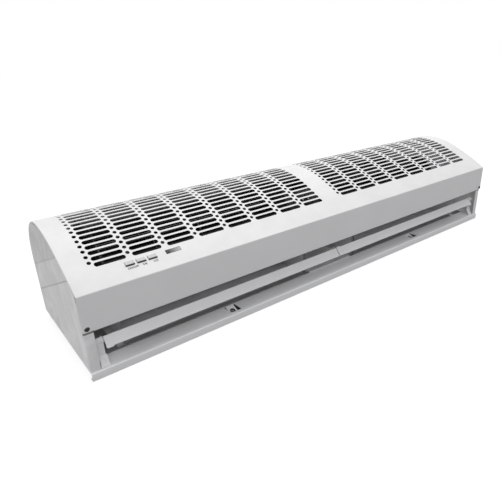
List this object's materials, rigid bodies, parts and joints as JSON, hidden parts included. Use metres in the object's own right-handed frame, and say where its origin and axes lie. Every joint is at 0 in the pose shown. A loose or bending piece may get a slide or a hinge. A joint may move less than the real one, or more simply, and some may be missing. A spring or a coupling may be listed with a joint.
{
  "type": "air curtain",
  "caption": "Long wall-mounted air curtain with a curved slotted intake cover, a front outlet with two tilting vanes, push keys and an indicator window",
  "frame": {"origin": "centre of the bounding box in X and Y, at its lowest point in Z", "axes": "+X along the case with the keys near its -X end, -Y the outlet side, +Z away from the wall plate"},
  "size_m": [0.9, 0.2142, 0.1742],
  "materials": {
    "case_paint": "white powder coat, satin",
    "vane_paint": "white powder coat, satin",
    "zinc_sheet": "zinc-coated sheet",
    "guide_paint": "dark coat, matt",
    "fan_plastic": "moulded, dark grey",
    "rubber": "moulded black",
    "core_steel": "stacked sheets, bare",
    "winding_resin": "varnished winding",
    "black_screw": "black oxide",
    "key_plastic": "white, satin",
    "pale_plastic": "moulded, pale",
    "dark_plastic": "moulded, dark",
    "window_plastic": "smoked, polished",
    "board_resin": "circuit board",
    "bright_steel": "bright zinc or ground steel"
  },
  "bodies": {
    "case": {"front_cover": "case_paint", "cover_screws": "black_screw", "base_pan": "case_paint", "end_plate_left": "case_paint", "end_plate_right": "case_paint", "wall_plate": "zinc_sheet", "bulkhead_left": "guide_paint", "bulkhead_right": "guide_paint", "bearing_plate_left": "guide_paint", "bearing_plate_right": "guide_paint", "tongue_left": "guide_paint", "tongue_right": "guide_paint", "scroll_left": "zinc_sheet", "scroll_right": "zinc_sheet", "end_bearings": "bright_steel", "bearing_bushes": "rubber", "motor_case_left": "zinc_sheet", "motor_case_right": "zinc_sheet", "motor_bolts": "bright_steel", "stator_core": "core_steel", "stator_windings": "winding_resin", "motor_bearings": "bright_steel", "motor_rings": "rubber", "motor_cradle": "zinc_sheet", "motor_clamps": "zinc_sheet", "clamp_screws": "bright_steel", "electrics_tray": "zinc_sheet", "capacitor": "pale_plastic", "capacitor_clamp": "zinc_sheet", "terminal_block": "pale_plastic", "switch_lead": "dark_plastic", "lead_clips": "dark_plastic", "switch_body": "dark_plastic", "indicator_window": "window_plastic", "indicator_board": "board_resin", "vane_bracket_left": "vane_paint", "vane_bracket_right": "vane_paint", "vane_bracket_centre": "vane_paint", "vane_washers": "pale_plastic", "cable_grommet": "rubber"},
    "rotor": {"impeller_left": "fan_plastic", "impeller_right": "fan_plastic", "coupling_left": "rubber", "coupling_right": "rubber", "coupling_screws": "bright_steel", "stub_shafts": "bright_steel", "motor_rotor": "core_steel", "motor_shaft": "bright_steel"},
    "left_vane": {"vane_left": "vane_paint", "vane_left_pins": "bright_steel"},
    "right_vane": {"vane_right": "vane_paint", "vane_right_pins": "bright_steel"},
    "power_key": {"key_power": "key_plastic"},
    "high_key": {"key_high": "key_plastic"},
    "low_key": {"key_low": "key_plastic"}
  },
  "joints": [
    {"name": "fan_spin", "type": "hinge", "parent": "case", "child": "rotor", "pos_m": [0, 0.0231, 0.088], "axis": [1, 0, 0], "continuous": true},
    {"name": "left_vane_tilt", "type": "hinge", "parent": "case", "child": "left_vane", "pos_m": [-0.215, -0.09032, 0.04488], "axis": [1, 0, 0], "range_deg": [-45, 40]},
    {"name": "right_vane_tilt", "type": "hinge", "parent": "case", "child": "right_vane", "pos_m": [0.215, -0.09032, 0.04488], "axis": [1, 0, 0], "range_deg": [-45, 40]},
    {"name": "power_key_press", "type": "slide", "parent": "case", "child": "power_key", "axis": [0, 0.505, -0.8631], "range_m": [0, 0.002], "stiffness_N_per_m": 400, "springref_m": -0.001},
    {"name": "high_key_press", "type": "slide", "parent": "case", "child": "high_key", "axis": [0, 0.505, -0.8631], "range_m": [0, 0.002], "stiffness_N_per_m": 400, "springref_m": -0.001},
    {"name": "low_key_press", "type": "slide", "parent": "case", "child": "low_key", "axis": [0, 0.505, -0.8631], "range_m": [0, 0.002], "stiffness_N_per_m": 400, "springref_m": -0.001}
  ]
}
